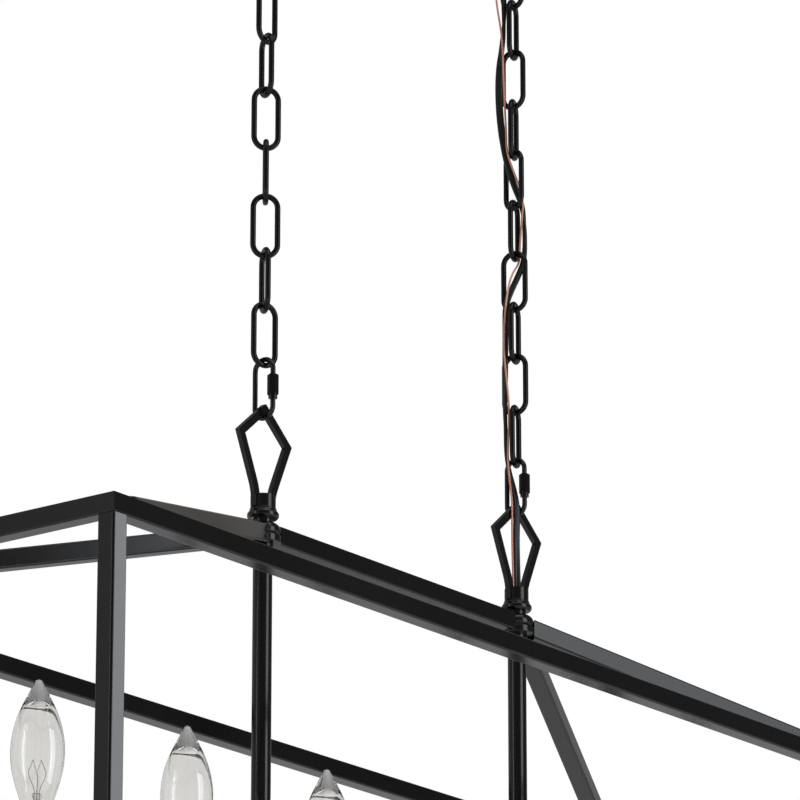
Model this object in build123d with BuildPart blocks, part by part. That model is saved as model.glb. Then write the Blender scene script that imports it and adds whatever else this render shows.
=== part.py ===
from build123d import *
import os
from math import cos, hypot, pi, radians, sin, tan

# Linear island pendant: a long open lantern of square tube on two chains under one ceiling canopy.
# The origin is on the ceiling, at the middle of the mounting bracket. X runs along the light, +Z is up.

os.makedirs("parts", exist_ok=True)

# ---------------------------------------------------------------- driving dimensions, in millimetres
# Cage
cage_length = 940.0
cage_width = 305.0
cage_height = 305.0
tube = 12.7
tube_wall = 1.2
tube_corner = 1.5
roof_rise = 84.0
hub_spacing = 280.0

# Fits
clearance = 0.3
seat_gap = 0.1

# Hubs, stems and the rings on top of them
bead_radius = 11.6
bead_height = 10.0
flange_radius = 12.0
flange_height = 5.0
flange_lap = 1.5
flange_round = 0.8
hub_ring_radius = 7.0
hub_ring_height = 2.5
stem_radius = 6.35
stem_wall = 1.2
stem_neck = 3.0
seat_radius = 10.4
seat_shoulder_radius = 8.9
seat_height = 7.0
seat_round = 0.7

# Hanging loops
loop_height = 71.5
loop_corner_drop = 23.5
loop_half_width = 27.6
loop_foot_half_width = 10.5
loop_bend_height = 9.5
loop_bend_radius = 35.0
loop_bar = 5.4
loop_plate = 3.4
loop_round = 1.6
collar_radius = 8.3
collar_height = 8.7
collar_bore = 4.4
nipple_radius = 5.05
nipple_length = 10.0

# Quick links
quick_length = 43.5
quick_width = 18.2
quick_wire = 3.4
quick_gap = 3.0
nut_length = 14.5
nut_flats = 6.6
nut_travel = 4.0
nut_bore_gap = 0.1
shoulder_radius = 3.0
shoulder_height = 1.8

# Chains: link angles are about the vertical, in degrees from the light's long axis, lowest link first
link_length = 45.7
link_width = 20.0
link_wire = 3.8
link_joint_gap = 0.35
left_link_angles = [-21, 53, -45, 40, -40, 62, -2, 80, -10, 85, 0]
right_link_angles = [20, -80, 18, -77, 18, -103, 22, -85, 18, -88, 0]
top_link_angle = 90

# Canopy and what fixes it
canopy_length = 400.0
canopy_width = 120.0
canopy_depth = 25.0
canopy_wall = 1.2
canopy_round = 6.0
ring_radius = 10.5
ring_wire = 5.0
ring_boss_radius = 9.5
ring_boss_height = 14.0
ring_bore = 6.2
ring_thread_radius = 7.5
ring_thread_length = 14.0
lock_nut_flats = 22.0
lock_nut_height = 4.0
bracket_length = 200.0
bracket_width = 32.0
bracket_thickness = 2.0
bracket_corner = 6.0
box_slot_spacing = 88.9
box_slot_length = 12.0
box_slot_width = 4.6
stud_spacing = 150.0
stud_radius = 2.0
cap_nut_radius = 6.0
cap_nut_height = 10.0
stud_nut_flats = 8.0
stud_nut_height = 3.0

# Light bar and candle lights
light_count = 6
light_spacing = 143.0
bar_overhang = 27.5
bar_top_depth = 246.0
bar_cap_plate = 2.0
bar_cap_plug = 8.0
finial_radius = 7.0
finial_height = 16.0
finial_rod_radius = 3.0
finial_rod_rise = 10.0
bulb_tip_depth = 65.0
glass_length = 85.0
glass_radius = 16.5
glass_wide_drop = 50.0
glass_shoulder_drop = 76.0
glass_shoulder_radius = 10.2
glass_neck_radius = 6.5
glass_tip_radius = 3.0
glass_tip_solid = 15.0
glass_wall = 0.8
base_radius = 6.0
base_rim_radius = 6.8
base_rim_height = 2.0
base_length = 19.0
base_thread_depth = 0.5
base_thread_count = 4
contact_radius = 2.4
contact_height = 2.5
sleeve_radius = 11.0
sleeve_wall = 1.0
sleeve_top_gap = 2.0
cup_radius = 15.0
cup_floor_radius = 12.0
cup_height = 10.0
cup_wall = 1.3
socket_wall = 2.6
socket_depth = 22.5
socket_floor = 8.0
socket_leg_radius = 5.0
socket_leg_reach = 1.8
wire_radius = 0.9

# Supply cord and ground wire: each is two stretches that meet at the chain's middle.
# Places are relative to the right hub's axis in X, to the middle in Y, and to the cage's top in Z.
cord_radius = 2.0
ground_radius = 0.7
lower_cord_route = [
    (0.7, -0.2, 82.0), (0.7, -0.2, 100.0), (-0.7, -0.8, 118.0), (-2.8, -2.0, 136.0), (-4.9, -4.2, 151.0),
    (-5.6, -4.6, 162.0), (-5.5, -2.0, 174.0), (-5.2, 1.6, 186.0), (-4.9, 4.3, 198.3), (-5.6, 4.2, 215.0),
    (-6.3, 4.3, 232.8), (-6.1, 4.0, 250.6), (-5.8, 4.1, 269.5), (-5.6, 3.9, 289.4), (-5.9, 3.6, 308.2),
    (-3.8, -0.4, 319.7), (1.0, -2.9, 330.7), (6.9, -4.3, 344.9), (6.3, -4.65, 358.0),
]
upper_cord_route = [
    (6.3, -4.65, 358.0), (5.7, -5.0, 371.1), (4.2, -3.7, 384.7), (0.4, -0.3, 397.2), (-2.8, 2.1, 409.8),
    (-4.8, 4.0, 422.4), (-6.4, 6.0, 439.1), (-7.0, 7.3, 458.0), (-7.1, 7.4, 476.8), (-6.6, 5.8, 494.6),
    (-5.6, 3.9, 512.4), (-5.6, 3.3, 532.3), (-6.1, 3.9, 553.2), (-6.5, 4.6, 573.1), (-6.4, 4.9, 594.1),
    (-6.0, 5.3, 615.0), (-5.6, 5.7, 632.7), (-5.0, 5.6, 645.2), (-3.6, 3.7, 654.4), (-1.9, 1.4, 661.9),
    (-1.3, 0.7, 668.9),
]
lower_ground_route = [
    (-3.2, 0.3, 82.0), (-3.2, 0.3, 100.0), (-4.6, -0.4, 116.0), (-7.0, -1.6, 134.0), (-8.8, -3.0, 150.0),
    (-9.0, -3.3, 163.0), (-8.6, -1.5, 175.0), (-8.4, 0.0, 187.0), (-8.0, 1.0, 197.2), (-7.0, 0.7, 215.0),
    (-6.4, 0.6, 232.8), (-8.6, 0.8, 251.7), (-9.4, 2.6, 270.5), (-9.0, 3.0, 289.4), (-8.9, 1.0, 308.2),
    (-7.2, 0.1, 320.8), (-3.8, -0.9, 331.3), (2.8, -2.4, 340.7), (4.3, -1.55, 349.1), (3.3, -3.1, 358.0),
]
upper_ground_route = [
    (3.3, -3.1, 358.0), (1.5, -5.9, 374.2), (1.9, -6.8, 384.7), (0.8, -4.6, 396.2), (-3.1, -1.5, 408.7),
    (-7.0, 1.0, 421.3), (-7.9, 0.6, 436.0), (-8.3, 1.6, 458.0), (-8.6, 2.4, 483.1), (-9.2, 2.2, 499.8),
    (-9.7, 3.5, 514.5), (-10.1, 6.0, 529.2), (-10.1, 8.0, 545.9), (-9.8, 8.4, 566.9), (-9.3, 8.2, 589.9),
    (-8.9, 7.8, 612.9), (-8.4, 8.0, 631.7), (-7.3, 7.7, 645.2), (-5.6, 6.2, 655.4), (-3.9, 3.9, 662.4),
    (-3.1, 3.5, 669.4),
]

# ---------------------------------------------------------------- places worked out from the sizes
half_length = cage_length / 2
half_width = cage_width / 2
hub_x = hub_spacing / 2
bore = tube - 2 * tube_wall

# Down from the ceiling: canopy, ring, top link, chain, quick link, hanging loop, cage
ring_centre_z = -canopy_depth - ring_boss_height + (ring_wire / 2) - ring_radius
ring_pivot_z = ring_centre_z - ring_radius
link_pitch = link_length - link_wire - (link_wire + clearance)
top_link_low_z = ring_pivot_z + (ring_wire + link_wire) / 2 + clearance - (link_length - link_wire)
first_link_low_z = top_link_low_z - len(right_link_angles) * link_pitch
quick_top_z = first_link_low_z + (link_wire + quick_wire) / 2 + clearance
quick_low_z = quick_top_z - (quick_length - quick_wire)
loop_slope_length = hypot(loop_half_width, loop_corner_drop)
loop_inner_drop = loop_bar * loop_slope_length / loop_half_width
loop_apex_z = quick_low_z + loop_inner_drop + (quick_wire / 2 + clearance) * loop_slope_length / loop_half_width
seat_top_z = loop_apex_z - loop_height
seat_low_z = seat_top_z - seat_height
ridge_top_z = seat_low_z - stem_neck
cage_top = ridge_top_z - roof_rise
cage_low = cage_top - cage_height
bar_top = cage_top - bar_top_depth
bar_middle = bar_top - tube / 2
bulb_tip = cage_top - bulb_tip_depth
glass_foot = bulb_tip - glass_length
light_places = [(i - (light_count - 1) / 2) * light_spacing for i in range(light_count)]
bar_half_length = light_places[-1] + bar_overhang
hub_places = [("left", -hub_x), ("right", hub_x)]


def save(piece, node):
    """Label a finished piece and write it to its own file."""
    piece.label = node
    export_step(piece, f"parts/{node}.step")


# ---------------------------------------------------------------- cage
def mitred_rail(node, length, side):
    """A tube along one side of a rectangle. The plane `side` is on its outer lower edge, Y inwards."""
    with BuildPart() as rail:
        with BuildSketch(side):
            with BuildLine():
                Polyline((-length / 2, 0), (length / 2, 0), (length / 2 - tube, tube),
                         (tube - length / 2, tube), close=True)
            make_face()
        extrude(amount=tube)
        fillet(rail.edges().filter_by(Axis(side.origin, side.x_dir)), tube_corner)
        with BuildSketch(side.offset(tube_wall)):
            with Locations((0, tube / 2)):
                Rectangle(length, bore)
        extrude(amount=bore, mode=Mode.SUBTRACT)
    save(rail.part, node)


def rectangle_of_rails(level_name, low_z):
    """The four mitred rails at one level."""
    for name, length, place, along in [
        ("front", cage_length, (0, -half_width), (1, 0, 0)),
        ("rear", cage_length, (0, half_width), (-1, 0, 0)),
        ("left", cage_width, (-half_length, 0), (0, -1, 0)),
        ("right", cage_width, (half_length, 0), (0, 1, 0)),
    ]:
        side = Plane(origin=(place[0], place[1], low_z), x_dir=along, z_dir=(0, 0, 1))
        mitred_rail(f"{name}_{level_name}_rail", length, side)


rectangle_of_rails("top", cage_top - tube)
rectangle_of_rails("bottom", cage_low)

for end_name, end in [("left", -1), ("right", 1)]:
    for face_name, face in [("front", -1), ("rear", 1)]:
        with BuildPart() as post:
            with BuildSketch(Plane.XY.offset(cage_low + tube)):
                with Locations((end * (half_length - tube / 2), face * (half_width - tube / 2))):
                    RectangleRounded(tube, tube, tube_corner)
                    Rectangle(bore, bore, mode=Mode.SUBTRACT)
            extrude(amount=cage_height - 2 * tube)
        save(post.part, f"{face_name}_{end_name}_post")

# Roof bars run from above each top corner to the hub, trimmed to the cage's inside and the hub's flange
for end_name, end in [("left", -1), ("right", 1)]:
    for face_name, face in [("front", -1), ("rear", 1)]:
        corner = Vector(end * (half_length - tube / 2), face * (half_width - tube / 2), cage_top)
        hub_top = Vector(end * hub_x, 0, ridge_top_z)
        run = hub_top - corner
        across = Vector(0, 0, 1).cross(run).normalized()
        bar_start = corner - run.normalized() * tube
        bar_plane = Plane(origin=bar_start, x_dir=across, z_dir=run)
        inner_x = half_length - tube - hub_x
        inner_y = half_width - tube
        with BuildPart() as roof_bar:
            with BuildSketch(bar_plane):
                with Locations((0, -tube / 2)):
                    RectangleRounded(tube, tube, tube_corner)
                    Rectangle(bore, bore, mode=Mode.SUBTRACT)
            extrude(amount=run.length + 2 * tube)
            with Locations((end * (hub_x + inner_x / 2), face * inner_y / 2, cage_top)):
                Box(inner_x, inner_y, 4 * roof_rise, mode=Mode.INTERSECT)
            with Locations((end * hub_x, 0, ridge_top_z)):
                Cylinder(flange_radius + seat_gap, 6 * tube, mode=Mode.SUBTRACT)
        save(roof_bar.part, f"{face_name}_{end_name}_roof_bar")

with BuildPart() as ridge_bar:
    with BuildSketch(Plane.YZ.offset(-hub_x)):
        with Locations((0, ridge_top_z - tube / 2)):
            RectangleRounded(tube, tube, tube_corner)
            Rectangle(bore, bore, mode=Mode.SUBTRACT)
    extrude(amount=hub_spacing)
    with Locations((-hub_x, 0, ridge_top_z), (hub_x, 0, ridge_top_z)):
        Cylinder(flange_radius + seat_gap, 6 * tube, mode=Mode.SUBTRACT)
save(ridge_bar.part, "ridge_bar")

# ---------------------------------------------------------------- hubs, stems, seats and hanging loops
stem_hole = stem_radius + seat_gap
bead_low_z = ridge_top_z - bead_height
flange_top_z = bead_low_z + flange_lap
flange_low_z = flange_top_z - flange_height
for side_name, x in hub_places:
    with BuildPart() as hub:
        with BuildSketch(Plane(origin=(x, 0, bead_low_z), x_dir=(1, 0, 0), z_dir=(0, -1, 0))):
            with Locations((stem_hole, bead_height / 2)):
                Ellipse(bead_radius - stem_hole, bead_height / 2)
        revolve(axis=Axis((x, 0, 0), (0, 0, 1)))
        with Locations((x, 0, (flange_top_z + flange_low_z) / 2)):
            Cylinder(flange_radius, flange_height)
        fillet(hub.edges().filter_by(GeomType.CIRCLE).sort_by(SortBy.RADIUS)[-2:], flange_round)
        with Locations((x, 0, flange_low_z - hub_ring_height / 2)):
            Cylinder(hub_ring_radius, hub_ring_height)
        with Locations((x, 0, bead_low_z)):
            Cylinder(stem_hole, 4 * bead_height, mode=Mode.SUBTRACT)
    save(hub.part, f"{side_name}_hub")

    stem_top = seat_top_z - seat_height / 2
    with BuildPart() as stem:
        with BuildSketch(Plane.XY.offset(bar_top)):
            with Locations((x, 0)):
                Circle(stem_radius)
                Circle(stem_radius - stem_wall, mode=Mode.SUBTRACT)
        extrude(amount=stem_top - bar_top)
    save(stem.part, f"{side_name}_stem")

    with BuildPart() as loop:
        with BuildSketch(Plane(origin=(x, 0, seat_top_z), x_dir=(1, 0, 0), z_dir=(0, -1, 0))) as kite:
            with BuildLine():
                Polyline((-loop_foot_half_width, 0), (-loop_foot_half_width, loop_bend_height),
                         (-loop_half_width, loop_height - loop_corner_drop), (0, loop_height),
                         (loop_half_width, loop_height - loop_corner_drop),
                         (loop_foot_half_width, loop_bend_height), (loop_foot_half_width, 0), close=True)
            make_face()
            fillet(kite.vertices().group_by(Axis.Y)[1], loop_bend_radius)
            offset(kite.face(), amount=-loop_bar, kind=Kind.INTERSECTION, mode=Mode.SUBTRACT)
            with Locations((0, 0)):
                Rectangle(2 * loop_foot_half_width - 2 * loop_bar, 2 * loop_bar + clearance,
                          align=(Align.CENTER, Align.CENTER), mode=Mode.SUBTRACT)
        extrude(amount=loop_plate / 2, both=True)
        fillet(loop.edges().filter_by(Axis.Y).group_by(Axis.Z)[-1], loop_round)
        with Locations((x, 0, seat_top_z + collar_height / 2)):
            Cylinder(collar_radius, collar_height)
        with Locations((x, 0, seat_top_z - nipple_length / 2)):
            Cylinder(nipple_radius, nipple_length)
        with Locations((x, 0, seat_top_z)):
            Cylinder(collar_bore, 4 * collar_height, mode=Mode.SUBTRACT)
    save(loop.part, f"{side_name}_hanging_loop")

# A seat ring flares out to its lip; the stem's top sits in its lower half and the loop's nipple goes through
nipple_hole = nipple_radius + seat_gap
seat_profile = [
    (nipple_hole, 0), (seat_shoulder_radius, 0), (seat_shoulder_radius, -0.2 * seat_height),
    (seat_radius, -0.5 * seat_height), (seat_radius, -0.8 * seat_height), (0.9 * seat_radius, -seat_height),
    (stem_hole, -seat_height), (stem_hole, -seat_height / 2), (nipple_hole, -seat_height / 2),
]
with BuildPart() as seats:
    for side_name, x in hub_places:
        with BuildSketch(Plane(origin=(x, 0, seat_top_z), x_dir=(1, 0, 0), z_dir=(0, -1, 0))):
            with BuildLine():
                Polyline(*seat_profile, close=True)
            make_face()
        revolve(axis=Axis((x, 0, 0), (0, 0, 1)))
    fillet([rim for rim in seats.edges().filter_by(GeomType.CIRCLE) if rim.radius > stem_hole + seat_round],
           seat_round)
save(seats.part, "stem_seat_rings")

# ---------------------------------------------------------------- quick links and chains
def oval_ring(centre, angle, length, width, wire):
    """An upright oval of round wire, turned about the vertical through its centre."""
    turned = Plane(origin=centre, x_dir=(cos(radians(angle)), sin(radians(angle)), 0), z_dir=(
        sin(radians(angle)), -cos(radians(angle)), 0))
    across = (width - wire) / 2
    reach = (length - wire) / 2
    with BuildPart() as ring:
        with BuildLine(turned):
            start = Line((across, across - reach), (across, reach - across))
            crown = TangentArc(start @ 1, (-across, reach - across), tangent=start % 1)
            back = Line(crown @ 1, (-across, across - reach))
            TangentArc(back @ 1, start @ 0, tangent=back % 1)
        with BuildSketch(Plane(origin=start @ 0, z_dir=start % 0)):
            Circle(wire / 2)
        sweep()
    return ring.part, turned, across


def chain_link(centre, angle):
    """One link, with the butt joint of its wire half way up one leg."""
    part, turned, across = oval_ring(centre, angle, link_length, link_width, link_wire)
    with BuildPart() as link:
        add(part)
        with Locations(turned.from_local_coords(Vector(across, 0, 0))):
            Box(2 * link_wire, 2 * link_wire, link_joint_gap, mode=Mode.SUBTRACT)
    return link.part


def chain(node, x, angles):
    """All links of a chain that hang below its top link."""
    with BuildPart() as links:
        for count, angle in enumerate(angles):
            low_z = first_link_low_z + count * link_pitch
            add(chain_link((x, 0, low_z + (link_length - link_wire) / 2), angle))
    save(links.part, node)


chain("left_chain", -hub_x, left_link_angles)
chain("right_chain", hub_x, right_link_angles)

with BuildPart() as top_links:
    for side_name, x in hub_places:
        add(chain_link((x, 0, top_link_low_z + (link_length - link_wire) / 2), top_link_angle))
save(top_links.part, "chain_top_links")

# A quick link's sleeve nut is on its front leg, just above the fixed shoulder, and screws up to open it
quick_middle_z = (quick_top_z + quick_low_z) / 2
straight_half = (quick_length - quick_width) / 2
nut_low_z = quick_middle_z + straight_half - nut_travel - nut_length
nut_y = -(quick_width - quick_wire) / 2
for side_name, x in hub_places:
    quick_part, quick_plane, quick_across = oval_ring(
        (x, 0, quick_middle_z), 90, quick_length, quick_width, quick_wire)
    with BuildPart() as quick_link:
        add(quick_part)
        with Locations((x, nut_y, nut_low_z - clearance - shoulder_height / 2)):
            Cylinder(shoulder_radius, shoulder_height)
        with Locations((x, nut_y, nut_low_z + quick_gap / 2 + clearance)):
            Box(2 * quick_wire, 2 * quick_wire, quick_gap, mode=Mode.SUBTRACT)
    save(quick_link.part, f"{side_name}_quick_link")

    with BuildPart() as sleeve_nut:
        with BuildSketch(Plane.XY.offset(nut_low_z)):
            with Locations((x, nut_y)):
                RegularPolygon(nut_flats / 2, 6, major_radius=False)
        extrude(amount=nut_length)
        chamfer(sleeve_nut.faces().filter_by(Axis.Z).edges(), nut_flats / 10)
        with Locations((x, nut_y, nut_low_z + nut_length / 2)):
            Cylinder(quick_wire / 2 + nut_bore_gap, 2 * nut_length, mode=Mode.SUBTRACT)
    save(sleeve_nut.part, f"{side_name}_sleeve_nut")

# ---------------------------------------------------------------- canopy, its rings and the bracket
canopy_floor_z = -canopy_depth + canopy_wall
with BuildPart() as canopy:
    with BuildSketch(Plane.XY.offset(-canopy_depth)):
        SlotOverall(canopy_length, canopy_width)
    extrude(amount=canopy_depth)
    fillet(canopy.edges().group_by(Axis.Z)[0], canopy_round)
    offset(amount=-canopy_wall, openings=canopy.faces().sort_by(Axis.Z)[-1])
    with Locations((-hub_x, 0, -canopy_depth), (hub_x, 0, -canopy_depth)):
        Cylinder(ring_thread_radius + seat_gap, 4 * canopy_wall, mode=Mode.SUBTRACT)
    with Locations((-stud_spacing / 2, 0, -canopy_depth), (stud_spacing / 2, 0, -canopy_depth)):
        Cylinder(stud_radius + clearance, 4 * canopy_wall, mode=Mode.SUBTRACT)
save(canopy.part, "canopy")

with BuildPart() as canopy_rings:
    for side_name, x in hub_places:
        with BuildLine(Plane(origin=(x, 0, ring_centre_z), x_dir=(1, 0, 0), z_dir=(0, -1, 0))):
            ring_path = CenterArc((0, 0), ring_radius, 0, 360)
        with BuildSketch(Plane(origin=ring_path @ 0, z_dir=ring_path % 0)):
            Circle(ring_wire / 2)
        sweep(path=ring_path)
    for side_name, x in hub_places:
        with Locations((x, 0, -canopy_depth - ring_boss_height / 2)):
            Cylinder(ring_boss_radius, ring_boss_height)
    fillet(canopy_rings.edges().filter_by(GeomType.CIRCLE).group_by(Axis.Z)[-1], ring_wire / 4)
    for side_name, x in hub_places:
        with Locations((x, 0, -canopy_depth + ring_thread_length / 2)):
            Cylinder(ring_thread_radius, ring_thread_length)
        with Locations((x, 0, -canopy_depth)):
            Cylinder(ring_bore, 2 * ring_boss_height + ring_wire, mode=Mode.SUBTRACT)
save(canopy_rings.part, "canopy_rings")

with BuildPart() as lock_nuts:
    with BuildSketch(Plane.XY.offset(canopy_floor_z)):
        with Locations((-hub_x, 0), (hub_x, 0)):
            RegularPolygon(lock_nut_flats / 2, 6, major_radius=False)
            Circle(ring_thread_radius + seat_gap, mode=Mode.SUBTRACT)
    extrude(amount=lock_nut_height)
save(lock_nuts.part, "ring_lock_nuts")

with BuildPart() as bracket:
    with BuildSketch(Plane.XY.offset(-bracket_thickness)):
        RectangleRounded(bracket_length, bracket_width, bracket_corner)
        with Locations((-box_slot_spacing / 2, 0), (box_slot_spacing / 2, 0)):
            SlotOverall(box_slot_length, box_slot_width, mode=Mode.SUBTRACT)
        with Locations((-stud_spacing / 2, 0), (stud_spacing / 2, 0)):
            Circle(stud_radius + seat_gap, mode=Mode.SUBTRACT)
    extrude(amount=bracket_thickness)
save(bracket.part, "mounting_bracket")

with BuildPart() as studs:
    for x in (-stud_spacing / 2, stud_spacing / 2):
        stud_low = -canopy_depth - cap_nut_height / 2
        with BuildSketch(Plane.XY.offset(stud_low)):
            with Locations((x, 0)):
                Circle(stud_radius)
        extrude(amount=-stud_low)
        with BuildSketch(Plane.XY.offset(-bracket_thickness - stud_nut_height)):
            with Locations((x, 0)):
                RegularPolygon(stud_nut_flats / 2, 6, major_radius=False)
        extrude(amount=stud_nut_height)
save(studs.part, "bracket_studs")

with BuildPart() as cap_nuts:
    for x in (-stud_spacing / 2, stud_spacing / 2):
        with Locations((x, 0, -canopy_depth - cap_nut_height / 2)):
            Cylinder(cap_nut_radius, cap_nut_height)
    fillet(cap_nuts.edges().group_by(Axis.Z)[0], cap_nut_radius / 2)
    for x in (-stud_spacing / 2, stud_spacing / 2):
        with Locations((x, 0, -canopy_depth - cap_nut_height / 4)):
            Cylinder(stud_radius + seat_gap, cap_nut_height / 2 + clearance, mode=Mode.SUBTRACT)
save(cap_nuts.part, "canopy_cap_nuts")

# ---------------------------------------------------------------- light bar and candle lights
socket_inner = base_radius + clearance
socket_outer = socket_inner + socket_wall
socket_top = glass_foot - base_rim_height - seat_gap
cup_top = bar_top + cup_height

with BuildPart() as light_bar:
    with BuildSketch(Plane.YZ.offset(-bar_half_length)):
        with Locations((0, bar_middle)):
            RectangleRounded(tube, tube, tube_corner)
            Rectangle(bore, bore, mode=Mode.SUBTRACT)
    extrude(amount=2 * bar_half_length)
    with Locations(*[(x, 0, bar_top) for x in light_places]):
        Cylinder(socket_leg_radius + seat_gap, 4 * tube_wall, mode=Mode.SUBTRACT)
    with Locations((-hub_x, 0, bar_top), (hub_x, 0, bar_top)):
        Cylinder(bore / 2, 4 * tube_wall, mode=Mode.SUBTRACT)
    with Locations((-hub_x, 0, bar_top - tube), (hub_x, 0, bar_top - tube)):
        Cylinder(finial_rod_radius + seat_gap, 4 * tube_wall, mode=Mode.SUBTRACT)
save(light_bar.part, "light_bar")

with BuildPart() as bar_caps:
    for end in (-1, 1):
        with BuildSketch(Plane.YZ.offset(end * bar_half_length)):
            with Locations((0, bar_middle)):
                RectangleRounded(tube, tube, tube_corner)
        extrude(amount=end * bar_cap_plate)
        with BuildSketch(Plane.YZ.offset(end * bar_half_length)):
            with Locations((0, bar_middle)):
                Rectangle(bore - 2 * seat_gap, bore - 2 * seat_gap)
        extrude(amount=-end * bar_cap_plug)
save(bar_caps.part, "light_bar_end_caps")

finial_profile = [
    (0, 0), (finial_radius, 0), (finial_radius, -0.2 * finial_height), (0.72 * finial_radius, -0.35 * finial_height),
    (0.9 * finial_radius, -0.55 * finial_height), (0.4 * finial_radius, -0.85 * finial_height), (0, -finial_height),
]
with BuildPart() as finials:
    for side_name, x in hub_places:
        with BuildSketch(Plane(origin=(x, 0, bar_top - tube), x_dir=(1, 0, 0), z_dir=(0, -1, 0))):
            with BuildLine():
                Polyline(*finial_profile, close=True)
            make_face()
        revolve(axis=Axis((x, 0, 0), (0, 0, 1)))
        with BuildSketch(Plane.XY.offset(bar_top - tube)):
            with Locations((x, 0)):
                Circle(finial_rod_radius)
        extrude(amount=tube + finial_rod_rise)
save(finials.part, "stem_finials")

cup_profile = [
    (socket_leg_radius + seat_gap, 0), (cup_floor_radius, 0), (cup_radius, 0.6 * cup_height), (cup_radius, cup_height),
    (cup_radius - cup_wall, cup_height), (cup_radius - cup_wall, 0.7 * cup_height),
    (cup_floor_radius - cup_wall / 2, cup_wall), (socket_leg_radius + seat_gap, cup_wall),
]
with BuildPart() as cups:
    for x in light_places:
        with BuildSketch(Plane(origin=(x, 0, bar_top), x_dir=(1, 0, 0), z_dir=(0, -1, 0))):
            with BuildLine():
                Polyline(*cup_profile, close=True)
            make_face()
        revolve(axis=Axis((x, 0, 0), (0, 0, 1)))
save(cups.part, "candle_cups")

sleeve_foot = bar_top + cup_wall + seat_gap
sleeve_top = socket_top - sleeve_top_gap
with BuildPart() as sleeves:
    with BuildSketch(Plane.XY.offset(sleeve_foot)):
        with Locations(*[(x, 0) for x in light_places]):
            Circle(sleeve_radius)
            Circle(sleeve_radius - sleeve_wall, mode=Mode.SUBTRACT)
    extrude(amount=sleeve_top - sleeve_foot)
save(sleeves.part, "candle_sleeves")

leg_foot = bar_top - socket_leg_reach
cavity_floor = socket_top - socket_depth
with BuildPart() as sockets:
    with BuildSketch(Plane.XY.offset(leg_foot)):
        with Locations(*[(x, 0) for x in light_places]):
            Circle(socket_leg_radius)
    extrude(amount=cavity_floor - leg_foot)
    with BuildSketch(Plane.XY.offset(cavity_floor - socket_floor)):
        with Locations(*[(x, 0) for x in light_places]):
            Circle(socket_outer)
    extrude(amount=socket_top - cavity_floor + socket_floor)
    with BuildSketch(Plane.XY.offset(cavity_floor)):
        with Locations(*[(x, 0) for x in light_places]):
            Circle(socket_inner)
    extrude(amount=socket_depth, mode=Mode.SUBTRACT)
save(sockets.part, "lamp_sockets")

wire_offset = finial_rod_radius + wire_radius + 2 * seat_gap
with BuildPart() as lamp_wires:
    for side in (-1, 1):
        with BuildSketch(Plane.YZ.offset(light_places[0])):
            with Locations((side * wire_offset, bar_middle)):
                Circle(wire_radius)
        extrude(amount=light_places[-1] - light_places[0])
        with BuildSketch(Plane.XY.offset(bar_middle)):
            with Locations((hub_x, side * wire_offset)):
                Circle(wire_radius)
        extrude(amount=seat_low_z - nipple_length - bar_middle)
save(lamp_wires.part, "lamp_wires")

# A bulb's glass is a thin shell with a solid pointed tip; heights are measured down from the tip
glass_outline = [
    (glass_neck_radius, -glass_length), (glass_shoulder_radius, -glass_shoulder_drop),
    (glass_radius, -glass_wide_drop), (0.72 * glass_radius, -0.42 * glass_wide_drop),
    (glass_tip_radius, -0.05 * glass_wide_drop), (0, 0),
]
inner_radius = glass_radius - glass_wall
glass_cavity = [
    (glass_neck_radius - glass_wall, -glass_length), (glass_shoulder_radius - glass_wall, -glass_shoulder_drop),
    (inner_radius, -glass_wide_drop), (0.62 * inner_radius, -0.46 * glass_wide_drop), (0, -glass_tip_solid),
]
thread_step = (base_length - base_rim_height) / base_thread_count
base_outline = [(0, -contact_height), (contact_radius, -contact_height), (contact_radius, 0)]
for turn in range(base_thread_count):
    base_outline += [
        (base_radius - base_thread_depth, turn * thread_step), (base_radius, (turn + 0.3) * thread_step),
        (base_radius, (turn + 0.7) * thread_step), (base_radius - base_thread_depth, (turn + 0.98) * thread_step),
    ]
base_outline += [(base_rim_radius, base_length - base_rim_height), (base_rim_radius, base_length), (0, base_length)]

for count, x in enumerate(light_places, start=1):
    with BuildPart() as glass:
        with BuildSketch(Plane(origin=(x, 0, bulb_tip), x_dir=(1, 0, 0), z_dir=(0, -1, 0))):
            with BuildLine():
                Spline(*glass_outline, tangents=[(0.5, 1), (-1, 0)])
                Line((0, 0), (0, -glass_length))
                Line((0, -glass_length), glass_outline[0])
            make_face()
            with BuildLine():
                Spline(*glass_cavity, tangents=[(0.5, 1), (-1, 0)])
                Line(glass_cavity[-1], (0, -glass_length))
                Line((0, -glass_length), glass_cavity[0])
            make_face(mode=Mode.SUBTRACT)
        revolve(axis=Axis((x, 0, 0), (0, 0, 1)))
    save(glass.part, f"bulb_{count}_glass")

    with BuildPart() as base:
        with BuildSketch(Plane(origin=(x, 0, glass_foot - base_length), x_dir=(1, 0, 0), z_dir=(0, -1, 0))):
            with BuildLine():
                Polyline(*base_outline, close=True)
            make_face()
        revolve(axis=Axis((x, 0, 0), (0, 0, 1)))
    save(base.part, f"bulb_{count}_base")


# ---------------------------------------------------------------- supply cord and ground wire
def corner_radii(route):
    """The largest arcs that the runs on both sides of each point leave room for."""
    radii = []
    for before, here, after in zip(route, route[1:], route[2:]):
        run_in, run_out = here - before, after - here
        half_turn = radians(run_in.get_angle(run_out)) / 2
        radii.append(0.45 * min(run_in.length, run_out.length) / tan(half_turn))
    return radii


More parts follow.
